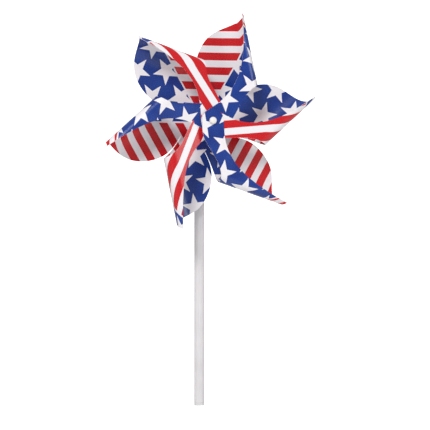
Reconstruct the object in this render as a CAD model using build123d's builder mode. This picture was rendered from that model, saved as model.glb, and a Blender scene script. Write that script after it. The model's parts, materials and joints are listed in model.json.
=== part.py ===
from build123d import *
import math
import os

# Six-vane film pinwheel on a hollow plastic stick. Millimetres, +Z up, the wheel faces -Y.
# The origin is the centre of the stick's lower end.

# Stick
STICK_LENGTH = 178.0
STICK_RADIUS = 3.0
STICK_BORE = 2.3
TUBE_EDGE = 0.15
AXLE_HEIGHT = 169.0

# Film wheel, described in its own frame: X right, Y up, Z towards the viewer, origin on the axle
FILM = 0.3
HUB_DISC_RADIUS = 15.0
VANES = 6
WHEEL_TURN = -168.0
WHEEL_SETBACK = 8.2
SLIT_GAP = 0.35

# One vane unrolled: s runs from the axle across the fold, t runs along the fold to the tip
ROOT_AT_OWN_SLIT = (3.9, 14.3)
OWN_SLIT = [ROOT_AT_OWN_SLIT, (1.2, 29.7), (5.0, 40.6), (14.4, 50.0), (32.8, 54.6)]
TIP = (44.9, 59.2)
RIM = [TIP, (48.9, 39.5), (57.7, 20.0), (68.0, 11.0)]
TAB_CENTRE = (76.7, 0.0)
TAB_RADIUS = 6.8
TAB_ON_RIM = (78.95, 6.4)
TAB_ON_SLIT = (70.6, -4.9)

# The curl, seen along the fold: flat root, wide arc, tight arc, straight run down to a flat tab
FLAT_ROOT = 18.6
WIDE_ARC = 14.2
TIGHT_ARC = 4.8
FLAT_TAB = 8.6
TAB_HEIGHT = 16.3
TAB_PITCH = 0.5

# Axle
PIN_RADIUS = 1.2
RUNNING_CLEARANCE = 0.05
FILM_HOLE_CLEARANCE = 0.1
SNUG = 0.02
TOUCH = 0.02
HEAD_RADIUS = 2.2
HEAD_HEIGHT = 1.8
END_PLAY = 0.3
HUB_TUBE_RADIUS = 2.2
COLLAR_RADIUS = 2.8
CAP_RADIUS = 3.2
CAP_LENGTH = 3.4
CAP_BORE = 2.4

# Lower end plug
PLUG_FLANGE = 1.8
PLUG_SPIGOT = 8.0

# Cylinders that rise from, or hang below, the place they are given
STANDING = (Align.CENTER, Align.CENTER, Align.MIN)
HANGING = (Align.CENTER, Align.CENTER, Align.MAX)

os.makedirs("parts", exist_ok=True)


def turned(point, degrees):
    c = math.cos(math.radians(degrees))
    s = math.sin(math.radians(degrees))
    return (c * point[0] - s * point[1], s * point[0] + c * point[1])


# The next vane's slit is this vane's own slit turned one place round, less the width of the cut
NEXT_SLIT = [turned(p, -360 / VANES) for p in OWN_SLIT]
NEXT_SLIT = [(p[0], p[1] + SLIT_GAP) for p in NEXT_SLIT]

with BuildSketch() as vane_blank:
    with BuildLine():
        Spline(*OWN_SLIT, TIP)
        Spline(*RIM, TAB_ON_RIM, tangents=[(0.1, -1.0), (0.95, -0.33)])
        ThreePointArc(TAB_ON_RIM, (TAB_CENTRE[0] + TAB_RADIUS, 0.0), (TAB_CENTRE[0], -TAB_RADIUS))
        Spline((TAB_CENTRE[0], -TAB_RADIUS), TAB_ON_SLIT, *reversed(NEXT_SLIT))
        Line(NEXT_SLIT[0], ROOT_AT_OWN_SLIT)
    make_face()


class Curl:
    """Side view of one vane's curl: where a ruling at unrolled distance s ends up."""

    def __init__(self, tab_height):
        self.fold_x = FLAT_ROOT + WIDE_ARC - TIGHT_ARC
        run_x = FLAT_TAB - self.fold_x
        run_z = tab_height - WIDE_ARC
        reach = math.hypot(run_x, run_z)
        self.tight_turn = math.atan2(run_z, run_x) - math.acos(TIGHT_ARC / reach)
        self.s_wide = FLAT_ROOT
        self.s_tight = self.s_wide + WIDE_ARC * math.pi / 2
        self.s_run = self.s_tight + TIGHT_ARC * self.tight_turn
        self.s_tab = self.s_run + math.sqrt(reach**2 - TIGHT_ARC**2)
        self.tab_height = tab_height

    def at(self, s):
        """(x, z, slope in radians) of the film's middle surface."""
        if s <= self.s_wide:
            return (s, 0.0, 0.0)
        if s <= self.s_tight:
            turn = (s - self.s_wide) / WIDE_ARC
            return (FLAT_ROOT + WIDE_ARC * math.sin(turn), WIDE_ARC * (1 - math.cos(turn)), turn)
        if s <= self.s_run:
            turn = (s - self.s_tight) / TIGHT_ARC
            x = self.fold_x + TIGHT_ARC * math.cos(turn)
            z = WIDE_ARC + TIGHT_ARC * math.sin(turn)
            return (x, z, turn + math.pi / 2)
        x, z, slope = self.at(self.s_run)
        if s <= self.s_tab:
            step = s - self.s_run
            return (x + step * math.cos(slope), z + step * math.sin(slope), slope)
        return (FLAT_TAB - (s - self.s_tab), self.tab_height, math.pi)

    def film_plane(self, s):
        """Plane of the film at s, X across the fold and Y along it."""
        x, z, slope = self.at(s)
        across = (math.cos(slope), 0, math.sin(slope))
        normal = (-math.sin(slope), 0, math.cos(slope))
        return Plane(origin=(x, 0, z), x_dir=across, z_dir=normal)

    def section_plane(self, s, t):
        """Plane across the film at s, X along the fold and Y through the film's thickness."""
        x, z, slope = self.at(s)
        return Plane(origin=(x, t, z), x_dir=(0, 1, 0), z_dir=(math.cos(slope), 0, math.sin(slope)))


def span(s):
    """Lowest and highest t of the film on the ruling at s."""
    ruling = Edge.make_line((s, -20, 0), (s, 70, 0))
    on_film = vane_blank.sketch.face().intersect(ruling)
    ends = sorted(v.Y for e in on_film for v in e.vertices())
    return ends[0], ends[-1]


def blank_between(low, high):
    """The part of the flat vane between two rulings, with the lower one moved to x = 0."""
    with BuildSketch() as piece:
        add(vane_blank.sketch)
        with Locations(((low + high) / 2, 20)):
            Rectangle(high - low, 120, mode=Mode.INTERSECT)
    return Pos(-low, 0, 0) * piece.sketch


def vane(tab_height):
    """One curled vane without its flat root, on the fold's own axes."""
    curl = Curl(tab_height)
    wide = [curl.s_wide + (curl.s_tight - curl.s_wide) * i / 8 for i in range(9)]
    tight_to_tip = [curl.s_tight + (TIP[0] - curl.s_tight) * i / 3 for i in range(4)]
    tip_to_run = [TIP[0] + (curl.s_run - TIP[0]) * i / 3 for i in range(4)]
    with BuildPart() as body:
        for stations in (wide, tight_to_tip, tip_to_run):
            with BuildPart() as arc:
                for s in stations:
                    low, high = span(s)
                    with BuildSketch(curl.section_plane(s, (low + high) / 2)):
                        Rectangle(high - low, FILM)
                loft()
            add(arc.part)
        with BuildSketch(curl.film_plane(curl.s_run)):
            add(blank_between(curl.s_run, curl.s_tab))
        extrude(amount=FILM / 2, both=True)
        with BuildSketch(Plane(origin=(FLAT_TAB, 0, tab_height), x_dir=(-1, 0, 0), z_dir=(0, 0, -1))):
            add(blank_between(curl.s_tab, 90.0))
        extrude(amount=FILM / 2, both=True)
    return body.part


def on_axle(part):
    """Stands a piece drawn along the axle (Z towards the viewer) in its place on the stick."""
    return Location((0, -WHEEL_SETBACK, AXLE_HEIGHT), (90, 0, 0)) * part


def save(part, name):
    part.label = name
    export_step(part, f"parts/{name}.step")


# Heights along the axle, from the film's back centre
STACK_BACK = TAB_HEIGHT - (VANES - 1) / 2 * TAB_PITCH - FILM / 2
STACK_FRONT = TAB_HEIGHT + (VANES - 1) / 2 * TAB_PITCH + FILM / 2
HEAD_BACK = STACK_FRONT + END_PLAY
STICK_FRONT = STICK_RADIUS - WHEEL_SETBACK
STICK_BACK = -STICK_RADIUS - WHEEL_SETBACK

# Die-cut film: centre disc, six curled vanes, their tabs stacked in front of the centre
with BuildPart() as film_wheel:
    with BuildSketch(mode=Mode.PRIVATE) as root:
        add(vane_blank.sketch)
        with Locations((FLAT_ROOT - 50, 0)):
            Rectangle(100, 200, mode=Mode.INTERSECT)
    with BuildSketch():
        Circle(HUB_DISC_RADIUS)
        for k in range(VANES):
            add(root.sketch, rotation=360 / VANES * k)
    extrude(amount=FILM / 2, both=True)
    for k in range(VANES):
        add(Rot(0, 0, -360 / VANES * k) * vane(TAB_HEIGHT + (k - (VANES - 1) / 2) * TAB_PITCH))
    Cylinder(PIN_RADIUS + FILM_HOLE_CLEARANCE, 3 * STACK_FRONT, mode=Mode.SUBTRACT)

# Tube inside the curls that keeps the tab stack off the film's centre and runs on the pin
with BuildPart() as hub_tube:
    with Locations((0, 0, (STACK_BACK + FILM / 2) / 2)):
        Cylinder(HUB_TUBE_RADIUS, STACK_BACK - FILM / 2 - 2 * TOUCH)
        Cylinder(PIN_RADIUS + RUNNING_CLEARANCE, STACK_BACK, mode=Mode.SUBTRACT)

# Axle pin with the small domed head that shows in the middle of the wheel
with BuildPart() as pin:
    with Locations((0, 0, HEAD_BACK)):
        Cylinder(HEAD_RADIUS, HEAD_HEIGHT, align=STANDING)
    fillet(pin.edges().group_by(Axis.Z)[-1], HEAD_HEIGHT * 0.9)
    with Locations((0, 0, HEAD_BACK)):
        shaft_length = HEAD_BACK - STICK_BACK + CAP_BORE - 0.2
        Cylinder(PIN_RADIUS, shaft_length, align=HANGING)
    chamfer(pin.edges().group_by(Axis.Z)[0], 0.3)

# Collar on the pin that holds the wheel clear of the stick
with BuildPart() as rear_collar:
    with Locations((0, 0, STICK_FRONT)):
        collar_length = -FILM / 2 - END_PLAY - STICK_FRONT
        Cylinder(COLLAR_RADIUS, collar_length, align=STANDING)
        chamfer(rear_collar.edges().group_by(Axis.Z)[-1], 0.4)
        Cylinder(PIN_RADIUS + SNUG, 3 * collar_length, mode=Mode.SUBTRACT)

# Push-on cap behind the stick that keeps the pin in
with BuildPart() as back_cap:
    with Locations((0, 0, STICK_BACK - TOUCH)):
        Cylinder(CAP_RADIUS, CAP_LENGTH, align=HANGING)
        fillet(back_cap.edges().group_by(Axis.Z)[0], 1.4)
        Cylinder(PIN_RADIUS + SNUG, CAP_BORE, align=HANGING, mode=Mode.SUBTRACT)

# Hollow stick, cross-drilled for the pin near its upper end
with BuildPart() as stick:
    with Locations((0, 0, PLUG_FLANGE)):
        tube_length = STICK_LENGTH - PLUG_FLANGE
        Cylinder(STICK_RADIUS, tube_length, align=STANDING)
        Cylinder(STICK_BORE, tube_length, align=STANDING, mode=Mode.SUBTRACT)
    chamfer(stick.edges().group_by(Axis.Z)[0], TUBE_EDGE)
    chamfer(stick.edges().group_by(Axis.Z)[-1], TUBE_EDGE)
    with Locations((0, 0, AXLE_HEIGHT)):
        Cylinder(PIN_RADIUS + SNUG, 4 * STICK_RADIUS, rotation=(90, 0, 0), mode=Mode.SUBTRACT)

# Plug in the lower end: a flange flush with the tube over a spigot inside it
with BuildPart() as end_plug:
    Cylinder(STICK_RADIUS, PLUG_FLANGE - TOUCH, align=STANDING)
    fillet(end_plug.edges().group_by(Axis.Z)[0], 0.5)
    chamfer(end_plug.edges().group_by(Axis.Z)[-1], TUBE_EDGE)
    with Locations((0, 0, PLUG_FLANGE - TOUCH)):
        Cylinder(STICK_BORE - SNUG, PLUG_SPIGOT, align=STANDING)
    chamfer(end_plug.edges().group_by(Axis.Z)[-1], 0.4)

save(on_axle(Rot(0, 0, WHEEL_TURN) * film_wheel.part), "film_wheel")
save(on_axle(hub_tube.part), "hub_tube")
save(on_axle(pin.part), "pin")
save(on_axle(rear_collar.part), "rear_collar")
save(on_axle(back_cap.part), "back_cap")
save(stick.part, "stick")
save(end_plug.part, "end_plug")
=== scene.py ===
import json
import math
import bpy
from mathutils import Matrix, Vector, geometry


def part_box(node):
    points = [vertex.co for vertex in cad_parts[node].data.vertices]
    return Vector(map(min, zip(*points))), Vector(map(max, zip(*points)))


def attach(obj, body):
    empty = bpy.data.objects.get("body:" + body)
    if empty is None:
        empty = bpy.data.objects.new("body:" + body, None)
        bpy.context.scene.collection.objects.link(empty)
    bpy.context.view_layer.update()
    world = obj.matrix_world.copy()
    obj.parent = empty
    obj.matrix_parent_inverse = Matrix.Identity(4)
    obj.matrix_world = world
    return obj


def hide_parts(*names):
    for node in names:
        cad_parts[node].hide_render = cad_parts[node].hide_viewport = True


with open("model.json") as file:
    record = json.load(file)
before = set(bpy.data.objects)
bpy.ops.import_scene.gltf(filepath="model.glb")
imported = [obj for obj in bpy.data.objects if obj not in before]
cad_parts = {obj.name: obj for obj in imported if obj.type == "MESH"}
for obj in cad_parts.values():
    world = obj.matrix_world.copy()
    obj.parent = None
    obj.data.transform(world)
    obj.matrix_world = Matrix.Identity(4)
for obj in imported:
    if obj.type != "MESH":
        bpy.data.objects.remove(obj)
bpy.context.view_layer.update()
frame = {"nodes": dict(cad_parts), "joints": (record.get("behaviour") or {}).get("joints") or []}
MM = 0.001

# ---------------------------------------------------------------- the film's cut and curl, in mm
# Repeats the wheel of the CAD source: s runs from the axle across the fold, t along the fold.
AXLE = Vector([c / MM for c in frame["joints"][0]["pos_m"]])
FILM = 0.24
VANES = 6
SIXTH = 360 / VANES
WHEEL_TURN = -168.0
TIP = (44.9, 59.2)
OWN_SLIT = [(3.9, 14.3), (1.2, 29.7), (5.0, 40.6), (14.4, 50.0), (32.8, 54.6), TIP]
SLIT_GAP = 0.35
TAB_CENTRE = (76.7, 0.0)
TAB_RADIUS = 6.8
TAB_ON_RIM = (78.95, 6.4)
TAB_ON_SLIT = (70.6, -4.9)
RIM = [TIP, (48.9, 39.5), (57.7, 20.0), (68.0, 11.0), TAB_ON_RIM]
FLAT_ROOT, WIDE_ARC, TIGHT_ARC, FLAT_TAB = 18.6, 14.2, 4.8, 8.6
TAB_HEIGHT, TAB_PITCH = 16.3, 0.5
PIN_HOLE = 1.3
# The cut opens to its full width over this distance from its inner end
GAP_OPENS_OVER = 4.0
# The next vane's slit is followed until it is this near the tab in s, or this low in t
SLIT_SHORT_OF_TAB = 5.0
SLIT_LOWEST = -3.2

# How finely the film is meshed: lengths in mm, SHARP_EDGE in degrees, and ROOT_RINGS as shares
# of the root's radius. Points that agree to SHARED_DIGITS decimals of a mm are one point.
OUTLINE_STEP = 1.3
INNER_STEP = 2.2
CLEAR_OF_OUTLINE = 1.2
CLEAR_OF_HOLE = 0.6
HOLE_SIDES = 20
ROOT_HOLE_SIDES = 8
TAB_SIDES = 22
ROOT_RINGS = (0.8, 0.6, 0.4, 0.22)
SHARED_DIGITS = 3
SHARP_EDGE = 35.0


def turned(p, degrees):
    c, s = math.cos(math.radians(degrees)), math.sin(math.radians(degrees))
    return (c * p[0] - s * p[1], s * p[0] + c * p[1])


def second_derivatives(values, gaps):
    """Second derivatives at the knots of a natural cubic through the values."""
    n = len(values)
    middle = [1.0] * n
    right = [0.0] * n
    bend = [0.0] * n
    for i in range(1, n - 1):
        before, after = gaps[i - 1], gaps[i]
        kink = (values[i + 1] - values[i]) / after - (values[i] - values[i - 1]) / before
        weight = before / middle[i - 1]
        middle[i] = 2 * (before + after) - weight * right[i - 1]
        right[i] = after
        bend[i] = 6 * kink - weight * bend[i - 1]
    for i in range(n - 2, 0, -1):
        bend[i] = (bend[i] - right[i] * bend[i + 1]) / middle[i]
    return bend


def spline(points, step):
    """Smooth curve through the points, sampled about every step (natural cubic by chord length)."""
    gaps = [math.dist(p, q) for p, q in zip(points, points[1:])]
    coordinates = [[p[axis] for p in points] for axis in (0, 1)]
    bends = [second_derivatives(values, gaps) for values in coordinates]
    out = []
    for i, gap in enumerate(gaps):
        count = max(2, round(gap / step))
        for j in range(count):
            b = j / count
            a = 1 - b
            place = []
            for y, bend in zip(coordinates, bends):
                bulge = ((a**3 - a) * bend[i] + (b**3 - b) * bend[i + 1]) * gap * gap / 6
                place.append(a * y[i] + b * y[i + 1] + bulge)
            out.append(tuple(place))
    out.append(tuple(points[-1]))
    return out


def arc(centre, radius, start, end, count):
    """Points on a circle from the angle start to the angle end, both included, in degrees."""
    angles = [math.radians(start + (end - start) * i / count) for i in range(count + 1)]
    return [(centre[0] + radius * math.cos(a), centre[1] + radius * math.sin(a)) for a in angles]


def sector_outline():
    """Counter-clockwise outline of one sixth of the flat film, hub to tab to tip and back."""
    own = spline(OWN_SLIT, OUTLINE_STEP)
    root = own[0]
    # The next vane's slit, moved off by the width of the cut
    next_slit = []
    for p in own:
        opened = min(1.0, math.dist(p, root) / GAP_OPENS_OVER)
        q = turned(p, -SIXTH)
        next_slit.append((q[0], q[1] + SLIT_GAP * opened))
    last_s = TAB_ON_SLIT[0] - SLIT_SHORT_OF_TAB
    next_slit = [q for q in next_slit if q[0] < last_s and q[1] > SLIT_LOWEST]
    under_tab = spline([next_slit[-1], TAB_ON_SLIT, (TAB_CENTRE[0], -TAB_RADIUS)], OUTLINE_STEP)
    tab_end = math.degrees(math.atan2(TAB_ON_RIM[1], TAB_ON_RIM[0] - TAB_CENTRE[0]))
    tab = arc(TAB_CENTRE, TAB_RADIUS, -90, tab_end, TAB_SIDES)
    rim = spline(RIM, OUTLINE_STEP)[::-1]
    root_angle = math.degrees(math.atan2(root[1], root[0]))
    hole = arc((0, 0), PIN_HOLE, root_angle, root_angle - SIXTH, ROOT_HOLE_SIDES)
    own_radius = [(root[0] * f, root[1] * f) for f in ROOT_RINGS]
    next_radius = [turned(p, -SIXTH) for p in own_radius[::-1]]
    next_side = hole + next_radius + next_slit + under_tab[1:-1]
    return next_side + tab + rim[1:-1] + own[::-1] + own_radius


class Curl:
    """Side view of the curl: flat root, wide arc, tight arc, straight run, flat tab."""

    def __init__(self, tab_height):
        self.fold_x = FLAT_ROOT + WIDE_ARC - TIGHT_ARC
        run_x, run_z = FLAT_TAB - self.fold_x, tab_height - WIDE_ARC
        reach = math.hypot(run_x, run_z)
        tight_turn = math.atan2(run_z, run_x) - math.acos(TIGHT_ARC / reach)
        self.wide = FLAT_ROOT
        self.tight = self.wide + WIDE_ARC * math.pi / 2
        self.run = self.tight + TIGHT_ARC * tight_turn
        self.tab = self.run + math.sqrt(reach**2 - TIGHT_ARC**2)
        self.height = tab_height

    def at(self, s):
        """x, z and slope of the film's middle at unrolled distance s."""
        if s <= self.wide:
            return s, 0.0, 0.0
        if s <= self.tight:
            a = (s - self.wide) / WIDE_ARC
            return self.wide + WIDE_ARC * math.sin(a), WIDE_ARC * (1 - math.cos(a)), a
        if s <= self.run:
            a = (s - self.tight) / TIGHT_ARC
            x = self.fold_x + TIGHT_ARC * math.cos(a)
            z = WIDE_ARC + TIGHT_ARC * math.sin(a)
            return x, z, a + math.pi / 2
        x, z, slope = self.at(self.run)
        if s <= self.tab:
            step = s - self.run
            return x + step * math.cos(slope), z + step * math.sin(slope), slope
        return FLAT_TAB - (s - self.tab), self.height, math.pi

    def stations(self):
        """Rulings that the mesh follows, close together where the film is tightly bent."""
        before_sector, past_tab = -20, 90
        stretches = (
            (before_sector, self.wide, 3.0),
            (self.wide, self.tight, 1.2),
            (self.tight, self.run, 0.6),
            (self.run, self.tab, 2.2),
            (self.tab, past_tab, 2.4),
        )
        out = []
        for low, high, step in stretches:
            count = max(1, round((high - low) / step))
            out += [low + (high - low) * i / count for i in range(count)]
        return out


def points_on_rulings(outline, stations):
    """Evenly spaced points inside the flat outline, on each station's ruling."""
    out = []
    ends = outline[1:] + outline[:1]
    for s in stations:
        cuts = []
        for (x0, y0), (x1, y1) in zip(outline, ends):
            if (x0 <= s) != (x1 <= s):
                cuts.append(y0 + (y1 - y0) * (s - x0) / (x1 - x0))
        cuts.sort()
        for low, high in zip(cuts[::2], cuts[1::2]):
            count = int((high - low - CLEAR_OF_OUTLINE) / INNER_STEP)
            out += [Vector((s, low + (high - low) * j / (count + 1))) for j in range(1, count + 1)]
    return out


def flat_mesh(outline, stations, hole_centre):
    """Triangles of the flat sector, with points along the rulings and the pin's hole in the tab."""
    border = [Vector(p) for p in outline]
    hole = [Vector(p) for p in arc(hole_centre, PIN_HOLE, 0, 360, HOLE_SIDES)[:-1]]
    inside = points_on_rulings(outline, stations)
    inside = [p for p in inside if (p - hole_centre).length > PIN_HOLE + CLEAR_OF_HOLE]
    n = len(border)
    ring = [(n + i, n + (i + 1) % HOLE_SIDES) for i in range(HOLE_SIDES)]
    everything = border + hole + inside
    only_inside, join_within = 1, 1e-5
    result = geometry.delaunay_2d_cdt(everything, ring, [list(range(n))], only_inside, join_within)
    points, faces = result[0], result[2]
    centres = [sum((points[i] for i in f), Vector((0, 0))) / len(f) for f in faces]
    return points, [f for f, c in zip(faces, centres) if (c - hole_centre).length > PIN_HOLE]


class Surface:
    """The film's middle surface: points, with their normals and flat places, and triangles."""

    def __init__(self):
        self.points = []
        self.normals = []
        self.sheet = []
        self.across = []
        self.triangles = []
        self.known = {}

    def point(self, flat, curl, angle):
        """Number of the point that a flat place is curled to, shared where vanes meet."""
        s, t = flat
        x, z, slope = curl.at(s)
        place = turned((x, t), angle)
        spot = tuple(round(c, SHARED_DIGITS) for c in (place[0], place[1], z))
        if spot not in self.known:
            lean = turned((-math.sin(slope), 0.0), angle)
            self.known[spot] = len(self.points)
            self.points.append(Vector((place[0], place[1], z)))
            self.normals.append(Vector((lean[0], lean[1], math.cos(slope))))
            self.sheet.append(turned((s, t), angle))
            self.across.append(s)
        return self.known[spot]

    def add_vane(self, outline, tab_height, angle):
        curl = Curl(tab_height)
        on_axle = Vector((curl.tab + FLAT_TAB, 0))
        flat, faces = flat_mesh(outline, curl.stations(), on_axle)
        numbers = [self.point(p, curl, angle) for p in flat]
        self.triangles += [[numbers[i] for i in f] for f in faces]

    def solid(self):
        """Vertices in metres, and the faces of the film's front, its back and its cut edge."""
        verts = []
        for side in (0.5, -0.5):
            for p, n in zip(self.points, self.normals):
                q = p + n * FILM * side
                verts.append((Vector((q.x, -q.z, q.y)) + AXLE) * MM)
        count = len(self.points)
        back = [[i + count for i in reversed(f)] for f in self.triangles]
        edges = dict.fromkeys((f[i], f[(i + 1) % 3]) for f in self.triangles for i in range(3))
        open_edges = [(a, b) for a, b in edges if (b, a) not in edges]
        cut_edge = [[b, a, a + count, b + count] for a, b in open_edges]
        return verts, self.triangles + back + cut_edge


def film_wheel():
    surface = Surface()
    outline = sector_outline()
    for k in range(VANES):
        tab_height = TAB_HEIGHT + (k - (VANES - 1) / 2) * TAB_PITCH
        surface.add_vane(outline, tab_height, WHEEL_TURN - SIXTH * k)
    verts, faces = surface.solid()
    mesh = bpy.data.meshes.new("film_sheet")
    mesh.from_pydata(verts, [], faces)
    printed = 2 * len(surface.triangles)
    for i, poly in enumerate(mesh.polygons):
        poly.use_smooth = True
        poly.material_index = 0 if i < printed else 1
    # The back repeats the front's points, so it repeats their places on the sheet
    sheet = mesh.attributes.new("sheet", "FLOAT_VECTOR", "POINT")
    sheet.data.foreach_set("vector", [c for x, y in surface.sheet for c in (x, y, 0.0)] * 2)
    across = mesh.attributes.new("across_fold", "FLOAT", "POINT")
    across.data.foreach_set("value", surface.across * 2)
    mesh.validate()
    mesh.set_sharp_from_angle(angle=math.radians(SHARP_EDGE))
    obj = bpy.data.objects.new("film_sheet", mesh)
    bpy.context.scene.collection.objects.link(obj)
    return obj


# ---------------------------------------------------------------- shader helpers
class Nodes:
    """A new material's node tree, with short calls that add a node and return its output."""

    def __init__(self, name):
        self.mat = bpy.data.materials.new(name)
        self.mat.use_nodes = True
        self.tree = self.mat.node_tree
        self.shader = self.tree.nodes["Principled BSDF"]

    def new(self, kind, **values):
        node = self.tree.nodes.new(kind)
        for key, value in values.items():
            setattr(node, key, value)
        return node

    def feed(self, socket, value):
        if isinstance(value, bpy.types.NodeSocket):
            self.tree.links.new(value, socket)
        else:
            socket.default_value = value

    def surface(self, sockets):
        for name, value in sockets.items():
            self.feed(self.shader.inputs[name], value)

    def math(self, operation, a, b=0.0):
        node = self.new("ShaderNodeMath", operation=operation)
        self.feed(node.inputs[0], a)
        self.feed(node.inputs[1], b)
        return node.outputs[0]

    def add(self, a, b):
        return self.math("ADD", a, b)

    def minus(self, a, b):
        return self.math("SUBTRACT", a, b)

    def times(self, a, b):
        return self.math("MULTIPLY", a, b)

    def divided(self, a, b):
        return self.math("DIVIDE", a, b)

    def length(self, a, b):
        return self.math("SQRT", self.add(self.times(a, a), self.times(b, b)))

    def mix(self, factor, a, b):
        node = self.new("ShaderNodeMix", data_type="RGBA")
        self.feed(node.inputs[0], factor)
        self.feed(node.inputs[6], a)
        self.feed(node.inputs[7], b)
        return node.outputs[2]

    def noise(self, vector, scale, detail=3.0, roughness=0.55):
        node = self.new("ShaderNodeTexNoise")
        if vector is not None:
            self.feed(node.inputs["Vector"], vector)
        node.inputs["Scale"].default_value = scale
        node.inputs["Detail"].default_value = detail
        node.inputs["Roughness"].default_value = roughness
        return node.outputs[0]

    def stretched(self, vector, scale):
        node = self.new("ShaderNodeMapping")
        self.feed(node.inputs["Vector"], vector)
        node.inputs["Scale"].default_value = scale
        return node.outputs[0]

    def bump(self, height, strength, distance):
        node = self.new("ShaderNodeBump")
        node.inputs["Strength"].default_value = strength
        node.inputs["Distance"].default_value = distance
        self.feed(node.inputs["Height"], height)
        self.feed(self.shader.inputs["Normal"], node.outputs[0])

    def ramp(self, value, low, high, out_low=0.0, out_high=1.0):
        node = self.new("ShaderNodeMapRange")
        self.feed(node.inputs["Value"], value)
        for i, v in zip(range(1, 5), (low, high, out_low, out_high)):
            node.inputs[i].default_value = v
        return node.outputs[0]


# ---------------------------------------------------------------- the print, drawn on the flat sheet
# Star and stripe sectors take turns. Angles are in degrees and distances in mm on the sheet.
SECTOR_START = 0.5
BORDER = 0.45
STRIPE_PERIOD = 8.75
STRIPE_START = 19.9
STRIPE_RED = 0.53
STRIPE_PIVOT = (44.0, 11.6)
STAR_SIZE = 8.6
STAR_WAIST = 0.40 * STAR_SIZE
STAR_TILT = -28.0
# The stars stand in rows across a star sector's middle line, every second row half a place along
STAR_ROWS = 15.6
STAR_SPACING = 18.0
STAR_FIRST = (19.6, -5.8)
# On the part folded to the front the stripes turn and the stars slide along their rows, between
# these two distances across the fold, because a real film bends a little like a cone
FOLD_BEGINS, FOLD_ENDS = 33.0, 50.0
STRIPE_TURN = -18.0
STAR_SLIDE = 5.0

WHITE = ((0.78, 0.74, 0.77, 1), (0.87, 0.85, 0.87, 1))
RED_INK = ((0.52, 0.004, 0.008, 1), (0.60, 0.008, 0.014, 1))
BLUE_INK = ((0.005, 0.028, 0.205, 1), (0.009, 0.044, 0.265, 1))


def star_grid(n, u, v, first):
    """1 inside the five-point stars of one rectangular grid, every second row from first on."""
    cell = []
    for place, start, pitch in ((u, first[0], 2 * STAR_ROWS), (v, first[1], STAR_SPACING)):
        away = n.minus(place, start)
        steps = n.math("ROUND", n.divided(away, pitch))
        cell.append(n.minus(away, n.times(steps, pitch)))
    du, dv = cell
    reach = n.length(du, dv)
    angle = n.minus(n.math("ARCTAN2", dv, du), math.radians(STAR_TILT))
    fifth = 2 * math.pi / 5
    point = n.math("ROUND", n.divided(angle, fifth))
    off = n.math("ABSOLUTE", n.minus(angle, n.times(point, fifth)))
    # The star's edge is the straight line from its point to its waist
    edge_x = STAR_WAIST * math.cos(fifth / 2) - STAR_SIZE
    edge_y = STAR_WAIST * math.sin(fifth / 2)
    length = math.hypot(edge_x, edge_y)
    normal_x, normal_y = edge_y / length, -edge_x / length
    along = n.times(n.times(reach, n.math("COSINE", off)), normal_x)
    across = n.times(n.times(reach, n.math("SINE", off)), normal_y)
    return n.math("LESS_THAN", n.add(along, across), STAR_SIZE * normal_x)


def star_field(n, u, v, folded):
    """1 inside a star. The rows are two rectangular grids, one a row on and half a place along."""
    along_row = n.minus(v, n.times(folded, STAR_SLIDE))
    second = (STAR_FIRST[0] + STAR_ROWS, STAR_FIRST[1] + STAR_SPACING / 2)
    grids = [star_grid(n, u, along_row, first) for first in (STAR_FIRST, second)]
    return n.math("MAXIMUM", *grids)


def red_stripes(n, u, v, folded):
    """1 inside a red stripe. The stripes run across a stripe sector's middle line."""
    tilt = n.times(folded, math.radians(STRIPE_TURN))
    du = n.minus(u, STRIPE_PIVOT[0])
    dv = n.minus(v, STRIPE_PIVOT[1])
    tilted = n.minus(n.times(du, n.math("COSINE", tilt)), n.times(dv, n.math("SINE", tilt)))
    from_first = n.add(tilted, STRIPE_PIVOT[0] - STRIPE_START)
    phase = n.math("FRACT", n.divided(from_first, STRIPE_PERIOD))
    return n.math("LESS_THAN", phase, STRIPE_RED)


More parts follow.
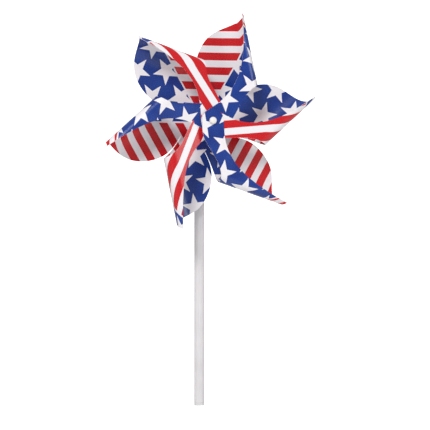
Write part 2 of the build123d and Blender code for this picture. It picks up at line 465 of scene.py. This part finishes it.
def film_material():
    n = Nodes("printed_film")
    sheet = n.new("ShaderNodeAttribute", attribute_name="sheet").outputs["Vector"]
    across = n.new("ShaderNodeAttribute", attribute_name="across_fold").outputs["Fac"]
    folded = n.ramp(across, FOLD_BEGINS, FOLD_ENDS)

    # here is the angle from the sector's start; u runs along the sector's middle line, v across it
    split = n.new("ShaderNodeSeparateXYZ")
    n.feed(split.inputs[0], sheet)
    x, y = split.outputs[0], split.outputs[1]
    reach = n.length(x, y)
    angle = n.times(n.math("ARCTAN2", y, x), 180 / math.pi)
    turn = n.math("FLOORED_MODULO", n.minus(angle, SECTOR_START), 2 * SIXTH)
    starry = n.math("LESS_THAN", turn, SIXTH)
    here = n.math("FLOORED_MODULO", turn, SIXTH)
    lean = n.times(n.minus(here, SIXTH / 2), math.pi / 180)
    u = n.times(reach, n.math("COSINE", lean))
    v = n.times(reach, n.math("SINE", lean))

    red = red_stripes(n, u, v, folded)
    stars = star_field(n, u, v, folded)
    edge = n.math("MINIMUM", here, n.minus(SIXTH, here))
    edge_mm = n.times(reach, n.math("SINE", n.times(edge, math.pi / 180)))
    border = n.math("LESS_THAN", edge_mm, BORDER)

    speck = n.noise(sheet, scale=2.2, detail=6.0, roughness=0.7)
    cloud = n.noise(sheet, scale=0.09, detail=2.0, roughness=0.5)
    white = n.mix(n.ramp(speck, 0.35, 0.65), *WHITE)
    red_ink = n.mix(n.ramp(speck, 0.35, 0.65), *RED_INK)
    blue_ink = n.mix(n.ramp(cloud, 0.35, 0.65), *BLUE_INK)
    stripes = n.mix(red, white, red_ink)
    field = n.mix(stars, blue_ink, white)
    print_colour = n.mix(starry, stripes, field)
    red_here = n.times(n.minus(1.0, starry), red)
    blue_here = n.times(starry, n.minus(1.0, stars))
    inked = n.math("MAXIMUM", red_here, blue_here)
    n.surface({
        "Base Color": n.mix(border, print_colour, white),
        "Roughness": n.add(n.ramp(speck, 0.3, 0.7, 0.27, 0.36), n.times(inked, -0.05)),
        "IOR": 1.5,
        "Specular IOR Level": 0.35,
        "Coat Weight": 0.30,
        "Coat Roughness": 0.22,
    })
    grain = n.times(n.noise(sheet, scale=1.6, detail=5.0, roughness=0.65), 0.35)
    waves = n.noise(sheet, scale=0.10, detail=2.0, roughness=0.5)
    n.bump(n.add(n.add(grain, waves), n.times(inked, 0.03)), strength=0.35, distance=0.0006)
    return n.mat


# ---------------------------------------------------------------- other materials
def plastic(name, low, high, roughness, grain=(1, 1, 1), scale=500.0, bump=0.15, scatter=0.0):
    """Moulded or extruded plastic: tone and gloss vary finely, with flow lines along the grain."""
    n = Nodes(name)
    place = n.new("ShaderNodeTexCoord").outputs["Object"]
    lines = n.noise(n.stretched(place, grain), scale, detail=4.0, roughness=0.6)
    cloud = n.noise(place, scale=60.0, detail=2.0, roughness=0.5)
    tone = n.add(n.times(lines, 0.5), n.times(cloud, 0.5))
    n.surface({
        "Base Color": n.mix(n.ramp(tone, 0.38, 0.62), (*low, 1), (*high, 1)),
        "Roughness": n.ramp(lines, 0.3, 0.7, roughness - 0.05, roughness + 0.08),
        "Specular IOR Level": 0.3,
    })
    if scatter:
        n.surface({
            "Subsurface Weight": scatter,
            "Subsurface Radius": (0.8, 0.6, 0.5),
            "Subsurface Scale": 0.0015,
        })
    n.bump(lines, bump, distance=0.0002)
    return n.mat


def stage_material(name, colour, glow):
    """Plain paper that shines a little by itself."""
    n = Nodes(name)
    darker = [c * 0.98 for c in colour]
    n.surface({
        "Base Color": n.mix(n.noise(None, scale=30.0), (*colour, 1), (*darker, 1)),
        "Roughness": 0.8,
        "Emission Color": (1, 1, 1, 1),
        "Emission Strength": glow,
    })
    return n.mat


# ---------------------------------------------------------------- pieces
film = film_wheel()
film.data.materials.append(film_material())
film.data.materials.append(plastic("film_cut_edge", (0.74, 0.72, 0.75), (0.86, 0.85, 0.87), 0.45))
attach(film, "wheel")
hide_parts("film_wheel")

looks = {
    "stick": plastic(
        "stick_plastic", (0.64, 0.615, 0.63), (0.73, 0.71, 0.72), 0.42,
        grain=(1, 1, 0.02), scale=1400.0, bump=0.25, scatter=0.15),
    "end_plug": plastic(
        "plug_plastic", (0.60, 0.59, 0.60), (0.70, 0.69, 0.69), 0.42, scale=900.0, bump=0.3),
    "pin": plastic(
        "pin_plastic", (0.80, 0.78, 0.72), (0.90, 0.885, 0.83), 0.30,
        scale=1200.0, bump=0.2, scatter=0.15),
    "rear_collar": plastic(
        "collar_plastic", (0.72, 0.71, 0.70), (0.82, 0.81, 0.80), 0.38, scale=1100.0, bump=0.2),
    "back_cap": plastic(
        "cap_plastic", (0.74, 0.73, 0.72), (0.84, 0.83, 0.82), 0.36, scale=1100.0, bump=0.2),
    "hub_tube": plastic(
        "hub_plastic", (0.72, 0.71, 0.71), (0.82, 0.81, 0.81), 0.38,
        grain=(1, 0.05, 1), scale=1100.0, bump=0.2),
}
for node, look in looks.items():
    obj = frame["nodes"][node]
    obj.data.materials.clear()
    obj.data.materials.append(look)

# ---------------------------------------------------------------- camera, in mm
# It aims below the pin's head, and VIEW_WIDTH is what the picture takes in at that distance.
AZIMUTH, ELEVATION = math.radians(-18.5), math.radians(-2.0)
DISTANCE = 1500.0
VIEW_WIDTH = 253.69
AIM_RIGHT_OF_HEAD = 0.59
AIM_BELOW_HEAD = 55.87
SENSOR_WIDTH = 36.0

level = math.cos(ELEVATION)
toward = Vector((math.sin(AZIMUTH) * level, -math.cos(AZIMUTH) * level, math.sin(ELEVATION)))
rotation = (-toward).to_track_quat("-Z", "Y")
right, up = rotation @ Vector((1, 0, 0)), rotation @ Vector((0, 1, 0))
head = Vector((0.0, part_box("pin")[0].y, AXLE.z * MM))
aim = head + right * AIM_RIGHT_OF_HEAD * MM - up * AIM_BELOW_HEAD * MM

data = bpy.data.cameras.new("camera")
data.sensor_width = SENSOR_WIDTH
data.lens = SENSOR_WIDTH * DISTANCE / VIEW_WIDTH
camera = bpy.data.objects.new("camera", data)
camera.location = aim + toward * DISTANCE * MM
camera.rotation_mode = "QUATERNION"
camera.rotation_quaternion = rotation
bpy.context.scene.collection.objects.link(camera)
bpy.context.scene.camera = camera

# ---------------------------------------------------------------- stage and light, in metres
PLATE_SIDES = 96
FLOOR_BELOW_FOOT = 0.10
FLOOR_RADIUS = 1.0
BACKDROP_BEHIND_AIM = 2.2
BACKDROP_RADIUS = 0.75
WORLD_LIGHT = 0.38


def plate(name, centre, normal, radius, look):
    """A round sheet of paper under or behind the object."""
    facing = Vector(normal).normalized().to_track_quat("Z", "Y")
    angles = [2 * math.pi * i / PLATE_SIDES for i in range(PLATE_SIDES)]
    corners = [Vector((math.cos(a), math.sin(a), 0)) * radius for a in angles]
    mesh = bpy.data.meshes.new(name)
    mesh.from_pydata([Vector(centre) + facing @ c for c in corners], [], [list(range(PLATE_SIDES))])
    mesh.materials.append(look)
    obj = bpy.data.objects.new(name, mesh)
    bpy.context.scene.collection.objects.link(obj)


def softbox(name, place, power, size):
    """A round soft light that faces the camera's aim."""
    light = bpy.data.lights.new(name, "AREA")
    light.shape = "DISK"
    light.size = size
    light.energy = power
    obj = bpy.data.objects.new(name, light)
    obj.location = place
    obj.rotation_mode = "QUATERNION"
    obj.rotation_quaternion = (aim - Vector(place)).to_track_quat("-Z", "Y")
    bpy.context.scene.collection.objects.link(obj)


floor_paper = stage_material("floor_paper", (0.86, 0.86, 0.87), glow=0.10)
backdrop_paper = stage_material("backdrop_paper", (0.9, 0.9, 0.9), glow=1.0)
plate("floor", (0, 0, -FLOOR_BELOW_FOOT), (0, 0, 1), FLOOR_RADIUS, floor_paper)
plate("backdrop", aim - toward * BACKDROP_BEHIND_AIM, toward, BACKDROP_RADIUS, backdrop_paper)

softbox("key", (-0.75, -1.0, 1.0), power=15.0, size=0.45)
softbox("fill", (1.1, -1.0, 0.35), power=4.0, size=0.6)
softbox("top", (0.1, 0.3, 1.3), power=3.0, size=0.8)

world = bpy.data.worlds.new("studio")
world.use_nodes = True
background = world.node_tree.nodes["Background"]
background.inputs["Color"].default_value = (1, 1, 1, 1)
background.inputs["Strength"].default_value = WORLD_LIGHT
bpy.context.scene.world = world
bpy.context.scene.view_settings.view_transform = "Standard"
